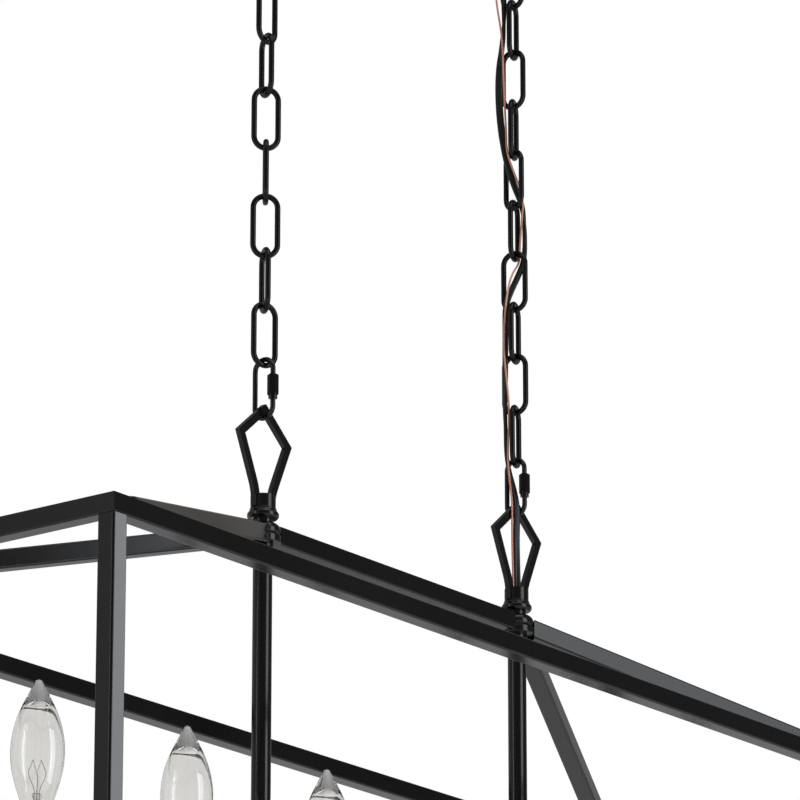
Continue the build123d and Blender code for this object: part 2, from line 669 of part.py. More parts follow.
def cord(node, route, radius):
    """A round cord along straight runs and tangent arcs."""
    points = [Vector(hub_x + x, y, cage_top + z) for x, y, z in route]
    radii = corner_radii(points)
    with BuildPart() as strand:
        with BuildLine() as path:
            FilletPolyline(*points, radius=radii)
        with BuildSketch(Plane(origin=path.wires()[0] @ 0, z_dir=path.wires()[0] % 0)):
            Circle(radius)
        sweep(path=path.wires()[0])
    length = path.wires()[0].length
    section = pi * radius ** 2
    print(node, "length", round(length, 1), "volume share", round(strand.part.volume / (section * length), 4),
          "tightest arc", round(min(radii), 1), "arcs", [round(r) for r in radii])
    save(strand.part, node)


cord("lower_supply_cord", lower_cord_route, cord_radius)
cord("upper_supply_cord", upper_cord_route, cord_radius)
cord("lower_ground_wire", lower_ground_route, ground_radius)
cord("upper_ground_wire", upper_ground_route, ground_radius)

print("heights:", "ring pivot", round(ring_pivot_z, 3), "top link low", round(top_link_low_z, 3),
      "quick low", round(quick_low_z, 3), "quick top", round(quick_top_z, 3), "loop apex", round(loop_apex_z, 3),
      "cage top", round(cage_top, 3), "cage low", round(cage_low, 3), "nut low", round(nut_low_z, 3))
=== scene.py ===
"""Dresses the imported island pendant: camera, studio, cords, candle bulbs and every finish.

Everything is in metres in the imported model's frame, where no other unit is named: the origin is on the
ceiling at the middle of the bracket, X runs along the lantern and Z points up.
"""
import logging
import math
from dataclasses import dataclass, field
from enum import Enum
from typing import Callable, Iterable, Optional, Sequence, Union

import bpy
from mathutils import Matrix, Vector


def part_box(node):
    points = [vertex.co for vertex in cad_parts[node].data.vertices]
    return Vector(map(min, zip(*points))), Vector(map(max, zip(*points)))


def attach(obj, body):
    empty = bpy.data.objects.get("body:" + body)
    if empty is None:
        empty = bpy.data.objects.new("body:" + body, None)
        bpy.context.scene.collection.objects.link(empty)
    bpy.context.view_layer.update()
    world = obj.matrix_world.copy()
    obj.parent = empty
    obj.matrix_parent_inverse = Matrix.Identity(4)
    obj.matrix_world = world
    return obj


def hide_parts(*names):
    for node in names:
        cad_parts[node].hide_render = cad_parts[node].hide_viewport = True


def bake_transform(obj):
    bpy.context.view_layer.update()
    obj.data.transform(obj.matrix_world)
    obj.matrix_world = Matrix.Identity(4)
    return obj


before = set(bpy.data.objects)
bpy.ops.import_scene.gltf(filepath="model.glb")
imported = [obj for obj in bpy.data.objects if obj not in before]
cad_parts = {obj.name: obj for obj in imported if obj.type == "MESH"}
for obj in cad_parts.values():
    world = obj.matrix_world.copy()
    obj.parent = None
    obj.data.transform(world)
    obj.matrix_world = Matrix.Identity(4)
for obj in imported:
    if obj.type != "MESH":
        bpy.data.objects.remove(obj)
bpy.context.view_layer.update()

LOG = logging.getLogger("island_pendant")
MM = 0.001
CAGE_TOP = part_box("front_top_rail")[1][2]
BULB_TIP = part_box("bulb_1_glass")[1][2]
POLE_RADIUS = 1e-5
MERGE_GAP = 3e-5
TURNED_CREASE, WIRE_CREASE, CORD_CREASE = math.radians(40), math.radians(50), math.radians(60)
CORD_WIDTH, CORD_THICKNESS, GROUND_WIDTH = 0.0052, 0.0027, 0.0014
WHITE = (1.0, 1.0, 1.0)
COOL = (0.92, 0.955, 1.0)

Point = tuple[float, float, float]
Colour = tuple[float, float, float]
Pair = tuple[float, float]


# ---------------------------------------------------------------------- shader maths
class Wire:
    """An output socket of a shader node, with Math nodes written as Python arithmetic."""

    def __init__(self, graph: "ShaderGraph", socket: bpy.types.NodeSocket) -> None:
        """Wraps a socket.

        Args:
            graph: The graph that the socket belongs to.
            socket: The output socket.
        """
        self.graph = graph
        self.socket = socket

    def __add__(self, other: "Value") -> "Wire":
        """self + other."""
        return self.graph.maths("ADD", self, other)

    __radd__ = __add__

    def __sub__(self, other: "Value") -> "Wire":
        """self - other."""
        return self.graph.maths("SUBTRACT", self, other)

    def __rsub__(self, other: "Value") -> "Wire":
        """other - self."""
        return self.graph.maths("SUBTRACT", other, self)

    def __mul__(self, other: "Value") -> "Wire":
        """self * other."""
        return self.graph.maths("MULTIPLY", self, other)

    __rmul__ = __mul__

    def clamp(self) -> "Wire":
        """The value held between 0 and 1."""
        return self.graph.maths("ADD", self, 0.0, clamp=True)


Value = Union[Wire, int, float]


class ShaderGraph:
    """A material's or a world's node tree, built one node at a time."""

    def __init__(self, tree: bpy.types.NodeTree) -> None:
        """Empties a node tree.

        Args:
            tree: The node tree of a material or a world.
        """
        self.tree = tree
        self.tree.nodes.clear()

    def node(self, kind: str, settings: Optional[dict] = None,
             inputs: Optional[dict] = None) -> bpy.types.Node:
        """Adds one node.

        Args:
            kind: The node's type, such as "ShaderNodeTexNoise".
            settings: Attributes of the node, set first.
            inputs: A value or a Wire for each named or numbered input socket.

        Returns:
            The new node.
        """
        node = self.tree.nodes.new(kind)
        for name, value in (settings or {}).items():
            setattr(node, name, value)
        for name, value in (inputs or {}).items():
            if isinstance(value, Wire):
                self.tree.links.new(value.socket, node.inputs[name])
            else:
                node.inputs[name].default_value = value
        return node

    def wire(self, node: bpy.types.Node, output: Union[str, int] = 0) -> Wire:
        """One output of a node as a Wire."""
        return Wire(self, node.outputs[output])

    def maths(self, operation: str, first: Value, second: Value = 0.0, clamp: bool = False) -> Wire:
        """A Math node on two values.

        Args:
            operation: The node's operation, such as "ADD".
            first: The first value.
            second: The second value.
            clamp: Whether the result is held between 0 and 1.

        Returns:
            The result.
        """
        settings = {"operation": operation, "use_clamp": clamp}
        return self.wire(self.node("ShaderNodeMath", settings, {0: first, 1: second}))

    def object_place(self, stretch: Point = (1.0, 1.0, 1.0)) -> Wire:
        """Object coordinates, stretched along each axis.

        Args:
            stretch: The scale along X, Y and Z.

        Returns:
            The coordinates.
        """
        place = self.wire(self.node("ShaderNodeTexCoord"), "Object")
        return self.wire(self.node("ShaderNodeMapping", None, {"Vector": place, "Scale": stretch}))

    def noise(self, place: Wire, scale: float, detail: float = 2.0, roughness: float = 0.5) -> Wire:
        """A noise texture's value.

        Args:
            place: The coordinates.
            scale: How many features there are in a metre.
            detail: How many finer layers it has.
            roughness: How strong those layers are.

        Returns:
            A value between 0 and 1.
        """
        inputs = {"Vector": place, "Scale": scale, "Detail": detail, "Roughness": roughness}
        return self.wire(self.node("ShaderNodeTexNoise", None, inputs))

    def ramp(self, value: Wire, low: float, high: float) -> Wire:
        """Stretches low..high of a value to 0..1, smoothly and held at both ends."""
        inputs = {"Value": value, "From Min": low, "From Max": high}
        return self.wire(self.node("ShaderNodeMapRange", {"interpolation_type": "SMOOTHSTEP"}, inputs))

    def mix(self, share: Value, first: Union[Wire, Colour], second: Union[Wire, Colour]) -> Wire:
        """Mixes two colours.

        Args:
            share: The second colour's share.
            first: The first colour.
            second: The second colour.

        Returns:
            The mixed colour.
        """
        full = [c if isinstance(c, Wire) else (*c, 1.0) for c in (first, second)]
        node = self.node("ShaderNodeMix", {"data_type": "RGBA"}, {0: share, 6: full[0], 7: full[1]})
        return self.wire(node, 2)

    def bump(self, height: Wire, distance: float) -> Wire:
        """Turns a height into a normal.

        Args:
            height: The height, between 0 and 1.
            distance: The height's real size in metres.

        Returns:
            The normal.
        """
        inputs = {"Height": height, "Distance": distance, "Strength": 1.0}
        return self.wire(self.node("ShaderNodeBump", None, inputs))

    def along(self, direction: Wire, axis: Point) -> Wire:
        """How far a direction points along an axis, from -1 to 1."""
        inputs = {0: direction, 1: axis}
        return self.wire(self.node("ShaderNodeVectorMath", {"operation": "DOT_PRODUCT"}, inputs), "Value")

    def principled(self, inputs: dict, volume: Optional[Wire] = None) -> None:
        """Ends a material with a Principled shader.

        Args:
            inputs: A value or a Wire for each of its sockets.
            volume: The shader of the inside, for a material that takes up light on its way through.
        """
        shader = self.wire(self.node("ShaderNodeBsdfPrincipled", None, inputs))
        ends = {"Surface": shader} if volume is None else {"Surface": shader, "Volume": volume}
        self.node("ShaderNodeOutputMaterial", None, ends)


def new_material(name: str) -> tuple[bpy.types.Material, ShaderGraph]:
    """An empty node material and its graph."""
    material = bpy.data.materials.new(name)
    material.use_nodes = True
    return material, ShaderGraph(material.node_tree)


# ---------------------------------------------------------------------- finishes
@dataclass(frozen=True)
class PaintedSteel:
    """Satin black paint on steel: a fine orange peel, uneven gloss, a little dust and rubbed spots."""

    name: str
    colour: Colour = (0.0030, 0.0030, 0.0034)
    worn_colour: Colour = (0.0085, 0.0082, 0.008)
    roughness: float = 0.17
    roughness_spread: float = 0.06
    specular: float = 0.5
    cloud_scale: float = 9.0
    speck_scale: float = 340.0
    speck_range: Pair = (0.66, 0.74)
    dust_range: Pair = (0.42, 0.75)
    peel_size: float = 0.0011
    peel_height: float = 0.000003
    draw_lines: float = 0.0
    line_scale: float = 1500.0

    def make(self) -> bpy.types.Material:
        """Builds the material."""
        material, graph = new_material(self.name)
        place = graph.object_place()
        clouds = graph.noise(place, self.cloud_scale, 3.0)
        peel = graph.noise(place, 1.0 / self.peel_size, 2.0, 0.6)
        specks = graph.ramp(graph.noise(place, self.speck_scale, 1.0), *self.speck_range)
        dust = (0.35 * graph.ramp(clouds, *self.dust_range) + 0.2 * specks).clamp()
        colour = graph.mix(dust, self.colour, self.worn_colour)
        gloss = self.roughness + self.roughness_spread * (clouds - 0.5) + 0.03 * (peel - 0.5) + 0.04 * specks
        lines = graph.noise(graph.object_place((0.04, 1.0, 1.0)), self.line_scale, 1.0)
        inputs = {
            "Base Color": colour, "Roughness": gloss, "Metallic": 0.0, "Specular IOR Level": self.specular,
            "Normal": graph.bump(peel + self.draw_lines * lines, self.peel_height),
        }
        graph.principled(inputs)
        return material


@dataclass(frozen=True)
class BareMetal:
    """Zinc, brass or solder with fine scratches and clouded gloss."""

    name: str
    colour: Colour
    dull_colour: Colour
    roughness: float = 0.3
    cloud_scale: float = 60.0
    cloud_range: Pair = (0.4, 0.7)
    scratch_scale: float = 700.0
    scratch_stretch: Point = (1.0, 1.0, 0.12)
    scratch_depth: float = 0.00001

    def make(self) -> bpy.types.Material:
        """Builds the material."""
        material, graph = new_material(self.name)
        place = graph.object_place()
        clouds = graph.noise(place, self.cloud_scale, 4.0)
        scratches = graph.noise(graph.object_place(self.scratch_stretch), self.scratch_scale, 2.0)
        inputs = {
            "Base Color": graph.mix(graph.ramp(clouds, *self.cloud_range), self.colour, self.dull_colour),
            "Metallic": 1.0, "Roughness": self.roughness + 0.2 * (clouds - 0.4) + 0.12 * (scratches - 0.5),
            "Normal": graph.bump(scratches, self.scratch_depth),
        }
        graph.principled(inputs)
        return material


@dataclass(frozen=True)
class MouldedPlastic:
    """Black plastic: a faint moulded grain, or a cord's semi-gloss vinyl."""

    name: str
    colour: Colour = (0.012, 0.012, 0.013)
    roughness: float = 0.42
    grain: float = 1400.0
    grain_height: float = 0.00001
    smudge_scale: float = 25.0
    smudge_range: Pair = (0.4, 0.8)

    def make(self) -> bpy.types.Material:
        """Builds the material."""
        material, graph = new_material(self.name)
        place = graph.object_place()
        grain = graph.noise(place, self.grain, 2.0)
        smudge = graph.noise(place, self.smudge_scale, 3.0)
        lighter = tuple(min(1.0, 1.8 * c + 0.002) for c in self.colour)
        inputs = {
            "Base Color": graph.mix(0.6 * graph.ramp(smudge, *self.smudge_range), self.colour, lighter),
            "Roughness": self.roughness + 0.12 * (smudge - 0.5) + 0.06 * (grain - 0.5),
            "Normal": graph.bump(grain, self.grain_height),
        }
        graph.principled(inputs)
        return material


@dataclass(frozen=True)
class ClearGlass:
    """Clear blown glass with faint draw lines; its grey tint is painted shade for the dim room round the
    bulb, and its absorption, far stronger than clear glass has, is painted shade in the thick solid tip,
    darker where light goes a long way through it.
    """

    name: str
    # Grey tint: painted shade for the dim room round the bulb
    painted_shade_tint: Colour = (0.85, 0.845, 0.83)
    ior: float = 1.5
    # Dark absorption: glass's own slight absorption made far stronger, as painted shade in the thick tip
    tip_shade_absorption_colour: Colour = (0.10, 0.11, 0.13)
    absorption_density: float = 50.0
    wave_scale: float = 70.0
    wave_stretch: Point = (1.0, 1.0, 0.35)
    wave_height: float = 0.00006
    haze: float = 0.012
    haze_range: Pair = (0.3, 0.8)

    def make(self) -> bpy.types.Material:
        """Builds the material."""
        material, graph = new_material(self.name)
        waves = graph.noise(graph.object_place(self.wave_stretch), self.wave_scale, 2.0)
        inputs = {
            "Base Color": (*self.painted_shade_tint, 1.0), "Roughness": self.haze * graph.ramp(waves, *self.haze_range),
            "IOR": self.ior, "Transmission Weight": 1.0, "Normal": graph.bump(waves, self.wave_height),
        }
        # The absorbing volume paints shade into the thick solid tip
        absorption = {"Color": (*self.tip_shade_absorption_colour, 1.0), "Density": self.absorption_density}
        graph.principled(inputs, graph.wire(graph.node("ShaderNodeVolumeAbsorption", None, absorption)))
        return material


@dataclass(frozen=True)
class JacketedCopper:
    """Fine copper strands seen through a clear jacket, which is milky in places, with painted shade in the
    grooves between strands.

    The UV map's U goes round the wire and its V counts metres along it.
    """

    name: str
    copper: Colour = (0.80, 0.36, 0.25)
    # Darker copper between the strands: painted shade in the grooves
    strand_groove_shade: Colour = (0.42, 0.15, 0.10)
    strands: float = 7.0
    turns_a_metre: float = 55.0
    strand_height: float = 0.00005
    milk_colour: Colour = (0.75, 0.7, 0.68)
    milk_scale: float = 30.0
    milk_range: Pair = (0.45, 0.8)
    jacket_coat: float = 0.9
    jacket_roughness: float = 0.08

    def make(self) -> bpy.types.Material:
        """Builds the material."""
        material, graph = new_material(self.name)
        uv = graph.wire(graph.node("ShaderNodeTexCoord"), "UV")
        parts = graph.node("ShaderNodeSeparateXYZ", None, {0: uv})
        lay = graph.wire(parts, 0) + self.turns_a_metre * graph.wire(parts, 1)
        strand = 0.5 + 0.5 * graph.maths("SINE", lay * (self.strands * 2 * math.pi))
        milky = graph.ramp(graph.noise(graph.object_place(), self.milk_scale, 2.0), *self.milk_range)
        # The strand pattern mixes in painted shade between the strands
        colour = graph.mix(0.3 * milky, graph.mix(strand, self.strand_groove_shade, self.copper), self.milk_colour)
        inputs = {
            "Base Color": colour, "Metallic": 0.3 - 0.25 * milky, "Roughness": 0.38 - 0.1 * strand,
            "Coat Weight": self.jacket_coat, "Coat Roughness": self.jacket_roughness,
            "Normal": graph.bump(strand, self.strand_height),
        }
        graph.principled(inputs)
        return material


@dataclass(frozen=True)
class PaleFloor:
    """A pale, faintly mottled studio floor."""

    name: str = "pale_studio_floor"
    colour: Colour = (0.86, 0.86, 0.86)
    darker_share: float = 0.97
    mottle_scale: float = 3.0
    roughness: float = 0.7

    def make(self) -> bpy.types.Material:
        """Builds the material."""
        material, graph = new_material(self.name)
        mottle = graph.noise(graph.object_place(), self.mottle_scale, 4.0)
        darker = tuple(self.darker_share * c for c in self.colour)
        inputs = {"Base Color": graph.mix(mottle, self.colour, darker), "Roughness": self.roughness}
        graph.principled(inputs)
        return material


@dataclass
class Finishes:
    """All finishes of the pendant, each made once."""

    tube: PaintedSteel = PaintedSteel("black_tube_paint", draw_lines=0.5)
    hardware: PaintedSteel = PaintedSteel("black_hardware_paint", roughness=0.18, peel_size=0.0008)
    chain: PaintedSteel = PaintedSteel("black_chain_paint", roughness=0.22, specular=0.3, peel_size=0.0009)
    canopy: PaintedSteel = PaintedSteel("black_canopy_paint", roughness=0.42, peel_size=0.0014)
    sleeve: MouldedPlastic = MouldedPlastic("black_candle_sleeve", roughness=0.5)
    socket: MouldedPlastic = MouldedPlastic("black_lamp_socket", roughness=0.3)
    lamp_wire: MouldedPlastic = MouldedPlastic("black_lamp_wire")
    cord: MouldedPlastic = MouldedPlastic("black_flat_cord", colour=(0.003, 0.003, 0.0032), roughness=0.36,
                                          grain=900.0, grain_height=0.00002)
    ground: JacketedCopper = JacketedCopper("jacketed_copper_wire")
    zinc: BareMetal = BareMetal("zinc_plated_steel", (0.62, 0.63, 0.65), (0.48, 0.49, 0.5))
    brass: BareMetal = BareMetal("rolled_brass", (0.76, 0.58, 0.30), (0.55, 0.40, 0.20), 0.28)
    lead: BareMetal = BareMetal("bulb_lead_wire", (0.32, 0.30, 0.27), (0.20, 0.19, 0.17), 0.35)
    filament: BareMetal = BareMetal("coiled_filament", (0.30, 0.29, 0.28), (0.17, 0.17, 0.17), 0.45)
    glass: ClearGlass = ClearGlass("clear_bulb_glass")
    # The mount glass's grey tint is painted shade as well
    press: ClearGlass = ClearGlass("bulb_mount_glass", painted_shade_tint=(0.88, 0.87, 0.84))
    made: dict = field(default_factory=dict)

    def material(self, finish: str) -> bpy.types.Material:
        """The material of one finish, made when it is first asked for."""
        if finish not in self.made:
            self.made[finish] = getattr(self, finish).make()
        return self.made[finish]

    def dress(self, piece: bpy.types.Object, finish: str) -> None:
        """Gives a piece or a CAD node its material.

        Args:
            piece: The mesh object.
            finish: The name of the finish.
        """
        piece.data.materials.clear()
        piece.data.materials.append(self.material(finish))


# ---------------------------------------------------------------------- modelling by hand
class Workbench:
    """Mesh modelling with Blender's operators."""

    @staticmethod
    def clear_selection() -> None:
        """Deselects every object."""
        bpy.ops.object.select_all(action="DESELECT")

    @classmethod
    def pick(cls, *pieces: bpy.types.Object) -> None:
        """Selects these pieces only and makes the first one active."""
        cls.clear_selection()
        for piece in pieces:
            piece.select_set(True)
        bpy.context.view_layer.objects.active = pieces[0]

    def ring(self, name: str, radius: float, height: float, around: int) -> bpy.types.Object:
        """Starts a turned shape with one ring of points in edit mode.

        Args:
            name: The new object's name.
            radius: The ring's radius.
            height: The ring's height.
            around: How many points it has.

        Returns:
            The new object, in edit mode with the ring selected.
        """
        self.clear_selection()
        bpy.ops.mesh.primitive_circle_add(vertices=around, radius=radius, location=(0, 0, height),
                                          fill_type="NOTHING")
        piece = bpy.context.object
        piece.name = name
        bpy.ops.object.transform_apply(location=True, rotation=True, scale=True)
        bpy.ops.object.mode_set(mode="EDIT")
        bpy.ops.mesh.select_all(action="SELECT")
        return piece

    def turned(self, name: str, profile: Sequence[Pair], around: int) -> bpy.types.Object:
        """A turned shape, drawn up ring by ring from a profile.

        Args:
            name: The new object's name.
            profile: Radius and height of each ring, in metres. A radius of 0 closes an end.
            around: How many points each ring has.

        Returns:
            The new object, with its place in its mesh.
        """
        rings = [(max(radius, POLE_RADIUS), height) for radius, height in profile]
        radius, height = rings[0]
        piece = self.ring(name, radius, height, around)
        for next_radius, next_height in rings[1:]:
            bpy.ops.mesh.extrude_region_move(TRANSFORM_OT_translate={"value": (0, 0, next_height - height)})
            share = next_radius / radius
            bpy.ops.transform.resize(value=(share, share, 1.0), center_override=(0, 0, next_height))
            radius, height = next_radius, next_height
        return self.close(piece)

    def close(self, piece: bpy.types.Object) -> bpy.types.Object:
        """Merges doubles, fills what is open, turns the faces outwards and leaves edit mode.

        Args:
            piece: The object in edit mode.

        Returns:
            The same object, smooth shaded.
        """
        bpy.ops.mesh.select_all(action="SELECT")
        bpy.ops.mesh.remove_doubles(threshold=MERGE_GAP)
        bpy.ops.mesh.select_all(action="DESELECT")
        bpy.ops.mesh.select_non_manifold(extend=False, use_wire=False, use_multi_face=False, use_verts=False)
        if self.has_selected_edges(piece):
            bpy.ops.mesh.edge_face_add()
        bpy.ops.mesh.select_all(action="SELECT")
        bpy.ops.mesh.normals_make_consistent(inside=False)
        bpy.ops.object.mode_set(mode="OBJECT")
        bpy.ops.object.shade_smooth_by_angle(angle=TURNED_CREASE)
        return piece

    @staticmethod
    def has_selected_edges(piece: bpy.types.Object) -> bool:
        """Whether any edge of a piece in edit mode is selected."""
        piece.update_from_editmode()
        return any(edge.select for edge in piece.data.edges)

    def copied(self, piece: bpy.types.Object, name: str, place: Point, turn: float = 0.0) -> bpy.types.Object:
        """A copy of a piece with its own mesh.

        Args:
            piece: The piece to copy.
            name: The copy's name.
            place: Where the piece's own origin goes.
            turn: The angle about the vertical, in degrees.

        Returns:
            The copy, with its place in its mesh.
        """
        self.clear_selection()
        copy = piece.copy()
        copy.data = piece.data.copy()
        copy.name = name
        bpy.context.collection.objects.link(copy)
        copy.data.transform(Matrix.Translation(Vector(place)) @ Matrix.Rotation(math.radians(turn), 4, "Z"))
        return copy

    def wire_run(self, name: str, points: Sequence[Point], radius: float,
                 around: int = 8) -> bpy.types.Object:
        """A thin wire bent along points: a smooth curve, made a mesh.

        Args:
            name: The new object's name.
            points: The wire's control points.
            radius: The wire's radius.
            around: How many faces it has round it.

        Returns:
            The new object, with its place in its mesh.
        """
        line = nurbs_line(name, points)
        line.data.bevel_depth = radius
        line.data.bevel_resolution = max(0, around // 4 - 1)
        line.data.use_fill_caps = True
        self.pick(line)
        bpy.ops.object.convert(target="MESH")
        piece = bpy.context.object
        piece.name = name
        bpy.ops.object.shade_smooth_by_angle(angle=WIRE_CREASE)
        return piece

    def joined(self, name: str, pieces: Sequence[bpy.types.Object]) -> bpy.types.Object:
        """Joins pieces into one object.

        Args:
            name: The joined object's name.
            pieces: The pieces, each with its place in its mesh.

        Returns:
            The joined object.
        """
        self.pick(*pieces)
        bpy.ops.object.join()
        pieces[0].name = name
        return pieces[0]


def nurbs_line(name: str, points: Sequence[Point]) -> bpy.types.Object:
    """A smooth curve with the given control points.

    Args:
        name: The new object's name.
        points: The control points, in metres.

    Returns:
        The new curve object.
    """
    curve = bpy.data.curves.new(name, "CURVE")
    curve.dimensions = "3D"
    curve.resolution_u = 10
    spline = curve.splines.new("NURBS")
    spline.points.add(len(points) - 1)
    for control, point in zip(spline.points, points):
        control.co = (*point, 1.0)
    spline.order_u = 3
    spline.use_endpoint_u = True
    line = bpy.data.objects.new(name, curve)
    bpy.context.collection.objects.link(line)
    return line


# ---------------------------------------------------------------------- camera and studio
@dataclass(frozen=True)
class Softbox:
    """One soft rectangular lamp, with its power in watts and, where it lights one node only, that node."""

    name: str
    place: Point
    target: Point
    size: Pair
    power: float
    colour: Colour = WHITE
    only_on: Optional[str] = None

    def hang(self) -> None:
        """Makes the lamp."""
        data = bpy.data.lights.new(self.name, "AREA")
        data.shape = "RECTANGLE"
        data.size, data.size_y = self.size
        data.energy, data.color = self.power, self.colour
        lamp = bpy.data.objects.new(self.name, data)
        aim = Vector(self.target) - Vector(self.place)
        lamp.matrix_world = Matrix.Translation(self.place) @ aim.to_track_quat("-Z", "Y").to_matrix().to_4x4()
        bpy.context.collection.objects.link(lamp)
        if self.only_on:
            lit = bpy.data.collections.new(f"{self.name}_lights")
            lit.objects.link(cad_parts[self.only_on])
            lamp.light_linking.receiver_collection = lit


@dataclass
class Studio:
    """The camera, the lamps, the floor and what the object hangs before. Heading and pitch are in degrees."""

    image_side: int = 800
    focal_pixels: float = 5500.0
    sensor_width: float = 36.0
    clip: Pair = (0.05, 60.0)
    camera_across: Pair = (-2.8131, -2.1319)
    camera_below_cage: float = 0.9235
    heading: float = 37.086
    pitch: float = 17.714
    floor_height: float = -2.45
    floor_side: float = 40.0
    floor_parts: int = 8
    left_range: Pair = (0.2, 0.9)
    left_level: float = 0.36
    right_level: float = 0.10
    ahead_range: Pair = (0.5, 0.9)
    ahead_level: float = 0.30
    fill_level: float = 0.65
    warm: Colour = (1.0, 0.975, 0.94)
    softboxes: tuple[Softbox, ...] = (
        Softbox("overhead_softbox", (-0.3, -0.6, 0.9), (0, 0, -0.9), (1.6, 1.2), 7.0),
        Softbox("front_softbox", (0.28, -1.75, -0.42), (0.28, 0.0, -0.42), (0.9, 1.75), 12.5, COOL),
        Softbox("left_strip", (-2.18, 0.81, -0.6), (-0.3, 0.0, -0.6), (0.22, 1.8), 3.7),
        Softbox("post_panel", (1.15, -1.3, CAGE_TOP + 0.55), (-0.467, -0.15, CAGE_TOP - 0.05), (0.9, 1.4),
                15.0, COOL, "front_left_post"),
    )

    def place_camera(self) -> None:
        """Creates the camera at the photograph's viewing angle."""
        turn, lift = math.radians(self.heading), math.radians(self.pitch)
        ahead = Vector((math.cos(lift) * math.cos(turn), math.cos(lift) * math.sin(turn), math.sin(lift)))
        right = Vector((math.sin(turn), -math.cos(turn), 0.0))
        up = right.cross(ahead)
        data = bpy.data.cameras.new("photo_camera")
        data.sensor_width = self.sensor_width
        data.lens = self.focal_pixels * self.sensor_width / self.image_side
        data.clip_start, data.clip_end = self.clip
        camera = bpy.data.objects.new("photo_camera", data)
        axes = Matrix((right, up, -ahead)).transposed().to_4x4()
        place = Vector((*self.camera_across, CAGE_TOP - self.camera_below_cage))
        camera.matrix_world = Matrix.Translation(place) @ axes
        bpy.context.collection.objects.link(camera)
        bpy.context.scene.camera = camera

    def light_world(self) -> None:
        """White for the camera and through the glass, dim and slightly warm walls for reflections.

        The walls are lighter on the left and ahead.
        """
        world = bpy.data.worlds.new("studio_world")
        world.use_nodes = True
        bpy.context.scene.world = world
        graph = ShaderGraph(world.node_tree)
        direction = graph.wire(graph.node("ShaderNodeTexCoord"), "Generated")
        turn = math.radians(self.heading)
        leftwards = graph.along(direction, (-math.sin(turn), math.cos(turn), 0.0))
        ahead = graph.along(direction, (math.cos(turn), math.sin(turn), 0.0))
        left_share = graph.ramp(leftwards, *self.left_range)
        ahead_share = graph.ramp(ahead, *self.ahead_range)
        studio = (self.right_level + (self.left_level - self.right_level) * left_share
                  + (self.ahead_level - self.right_level) * ahead_share)
        paths = graph.node("ShaderNodeLightPath")
        camera, through, glossy = (graph.wire(paths, f"Is {kind} Ray")
                                   for kind in ("Camera", "Transmission", "Glossy"))
        seen = graph.maths("MAXIMUM", camera, through)
        level = seen + (1.0 - seen) * (glossy * studio + (1.0 - glossy) * self.fill_level)
        colour = graph.mix(glossy * (1.0 - seen), WHITE, self.warm)
        background = graph.node("ShaderNodeBackground", None, {"Color": colour, "Strength": level})
        graph.node("ShaderNodeOutputWorld", None, {"Surface": graph.wire(background)})

    def lay_floor(self) -> None:
        """A pale floor far below the hanging light."""
        Workbench.clear_selection()
        bpy.ops.mesh.primitive_grid_add(x_subdivisions=self.floor_parts, y_subdivisions=self.floor_parts,
                                        size=self.floor_side, location=(0, 0, self.floor_height))
        floor = bpy.context.object
        floor.name = "studio_floor"
        floor.data.materials.append(PaleFloor().make())

    def build(self) -> None:
        """Makes the camera, the world, the lamps and the floor."""
        self.place_camera()
        self.light_world()
        self.lay_floor()
        for softbox in self.softboxes:
            softbox.hang()
        LOG.info("studio ready")


# ---------------------------------------------------------------------- cords
class Stretch(Enum):
    """The parts of a cord, each between two bodies that one joint joins."""

    CEILING = "ceiling"
    UPPER = "upper"
    LOWER = "lower"


# Control points in millimetres: across from the right hub's axis in X, Y as it is, Z above the cage's top
LOWER_CORD: list[Point] = [
    (0.7, -0.2, 82.0), (0.7, -0.2, 100.0), (-0.7, -0.8, 118.0), (-2.8, -2.0, 136.0), (-4.9, -4.2, 151.0),
    (-5.6, -4.6, 162.0), (-5.5, -2.0, 174.0), (-5.2, 1.6, 186.0), (-4.9, 4.3, 198.3), (-5.6, 4.2, 215.0),
    (-6.3, 4.3, 232.8), (-6.1, 4.0, 250.6), (-5.8, 4.1, 269.5), (-5.6, 3.9, 289.4), (-5.9, 3.6, 308.2),
    (-3.8, -0.4, 319.7), (1.0, -2.9, 330.7), (6.9, -4.3, 344.9), (6.3, -4.65, 358.0),
]
UPPER_CORD: list[Point] = [
    (6.3, -4.65, 358.0), (5.7, -5.0, 371.1), (4.2, -3.7, 384.7), (0.4, -0.3, 397.2), (-2.8, 2.1, 409.8),
    (-4.8, 4.0, 422.4), (-6.4, 6.0, 439.1), (-7.0, 7.3, 458.0), (-7.1, 7.4, 476.8), (-6.6, 5.8, 494.6),
    (-5.6, 3.9, 512.4), (-5.6, 3.3, 532.3), (-6.1, 3.9, 553.2), (-6.5, 4.6, 573.1), (-6.4, 4.9, 594.1),
    (-6.0, 5.3, 615.0), (-5.8, 5.5, 623.85),
]
CEILING_CORD: list[Point] = [
    (-5.8, 5.5, 623.85), (-5.6, 5.7, 632.7), (-5.0, 5.6, 645.2), (-3.6, 3.7, 654.4), (-1.9, 1.4, 661.9),
    (-1.3, 0.7, 668.9),
]
LOWER_GROUND: list[Point] = [
    (-3.2, 0.3, 82.0), (-3.2, 0.3, 100.0), (-4.6, -0.4, 116.0), (-7.0, -1.6, 134.0), (-8.8, -3.0, 150.0),
    (-9.0, -3.3, 163.0), (-8.6, -1.5, 175.0), (-8.4, 0.0, 187.0), (-8.0, 1.0, 197.2), (-7.0, 0.7, 215.0),
    (-6.4, 0.6, 232.8), (-8.6, 0.8, 251.7), (-9.4, 2.6, 270.5), (-9.0, 3.0, 289.4), (-8.9, 1.0, 308.2),
    (-7.2, 0.1, 320.8), (-3.8, -0.9, 331.3), (2.8, -2.4, 340.7), (4.3, -1.55, 349.1), (3.3, -3.1, 358.0),
]
